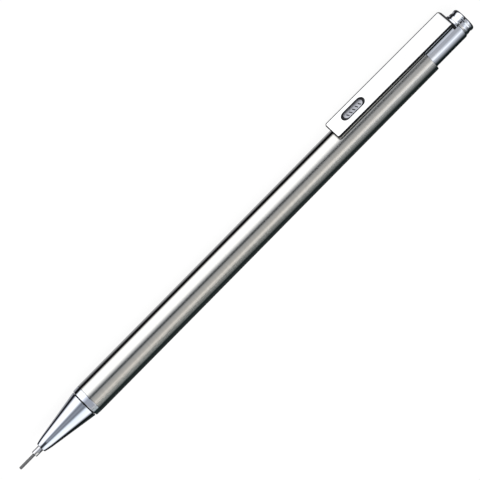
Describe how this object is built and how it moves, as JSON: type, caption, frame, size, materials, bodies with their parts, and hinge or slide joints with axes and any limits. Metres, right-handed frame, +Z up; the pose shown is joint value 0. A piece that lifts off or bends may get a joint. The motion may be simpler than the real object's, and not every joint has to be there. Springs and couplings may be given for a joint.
{
  "type": "mechanical pencil",
  "caption": "Slim metal push-button mechanical pencil with a pocket clip, tapered screw-off nose, gripping chuck, return spring, lead tube and eraser under the button.",
  "frame": {"origin": "centre of the bounding box's bottom, on the table that the pencil lies on", "axes": "+X along the pencil towards its writing tip, the clip on the -Y side, +Z up"},
  "size_m": [0.1136, 0.0079, 0.0061],
  "materials": {
    "barrel_steel": "satin, finely brushed round the barrel",
    "polished_steel": "mirror polished, bright plated",
    "clip_steel": "polished spring steel",
    "spring_steel": "drawn stainless",
    "brass": "turned",
    "dark_enamel": "dark filled enamel",
    "black_plastic": "moulded, matte",
    "clear_plastic": "moulded, translucent white",
    "graphite": "graphite, slight sheen",
    "white_eraser": "soft vinyl, matte",
    "black_rubber": "moulded rubber"
  },
  "bodies": {
    "barrel": {"barrel_tube": "barrel_steel", "front_ring": "polished_steel", "guide_sleeve": "brass", "crown": "polished_steel", "crown_bush": "black_plastic", "clip_foot": "clip_steel", "return_spring": "spring_steel"},
    "clip": {"clip_arm": "clip_steel", "clip_emblem": "dark_enamel"},
    "push_rod": {"chuck": "brass", "chuck_connector": "black_plastic", "lead_tube": "clear_plastic"},
    "closing_ring": {"chuck_ring": "brass"},
    "eraser_unit": {"eraser_holder": "spring_steel", "eraser": "white_eraser"},
    "button": {"push_button": "polished_steel"},
    "writing_lead": {"lead": "graphite"},
    "spares": {"spare_leads": "graphite"},
    "nose_carrier": {"lead_sleeve": "spring_steel", "lead_retainer": "black_rubber"},
    "nose": {"nose_cone": "polished_steel"}
  },
  "joints": [
    {"name": "clip_flex", "type": "hinge", "parent": "barrel", "child": "clip", "pos_m": [-0.05303, -0.00324, 0.00229], "axis": [0, 0.1808, -0.9835], "range_deg": [0, 3], "stiffness_Nm_per_rad": 1.7},
    {"name": "button_press", "type": "slide", "parent": "barrel", "child": "push_rod", "axis": [1, 0, 0], "range_m": [0, 0.0019], "stiffness_N_per_m": 2500, "deforming": ["return_spring"]},
    {"name": "ring_travel", "type": "slide", "parent": "barrel", "child": "closing_ring", "axis": [1, 0, 0], "range_m": [0, 0.0006]},
    {"name": "eraser_pull", "type": "slide", "parent": "push_rod", "child": "eraser_unit", "axis": [-1, 0, 0], "range_m": [0, 0.009]},
    {"name": "button_pull", "type": "slide", "parent": "eraser_unit", "child": "button", "axis": [-1, 0, 0], "range_m": [0, 0.009]},
    {"name": "lead_feed", "type": "slide", "parent": "barrel", "child": "writing_lead", "axis": [1, 0, 0], "range_m": [-0.0034, 0.005]},
    {"name": "spare_lead_slide", "type": "slide", "parent": "push_rod", "child": "spares", "axis": [1, 0, 0], "range_m": [-0.005, 0.004]},
    {"name": "nose_travel", "type": "slide", "parent": "barrel", "child": "nose_carrier", "axis": [1, 0, 0], "range_m": [0, 0.0035]},
    {"name": "nose_turn", "type": "hinge", "parent": "nose_carrier", "child": "nose", "pos_m": [0.04045, 0.0009, 0.00305], "axis": [1, 0, 0], "range_deg": [0, 2521]}
  ],
  "couplings": [
    {"joint": "ring_travel", "follows": "button_press", "ratio": 0.31579},
    {"joint": "nose_turn", "follows": "nose_travel", "rad_per_m": 12566}
  ]
}
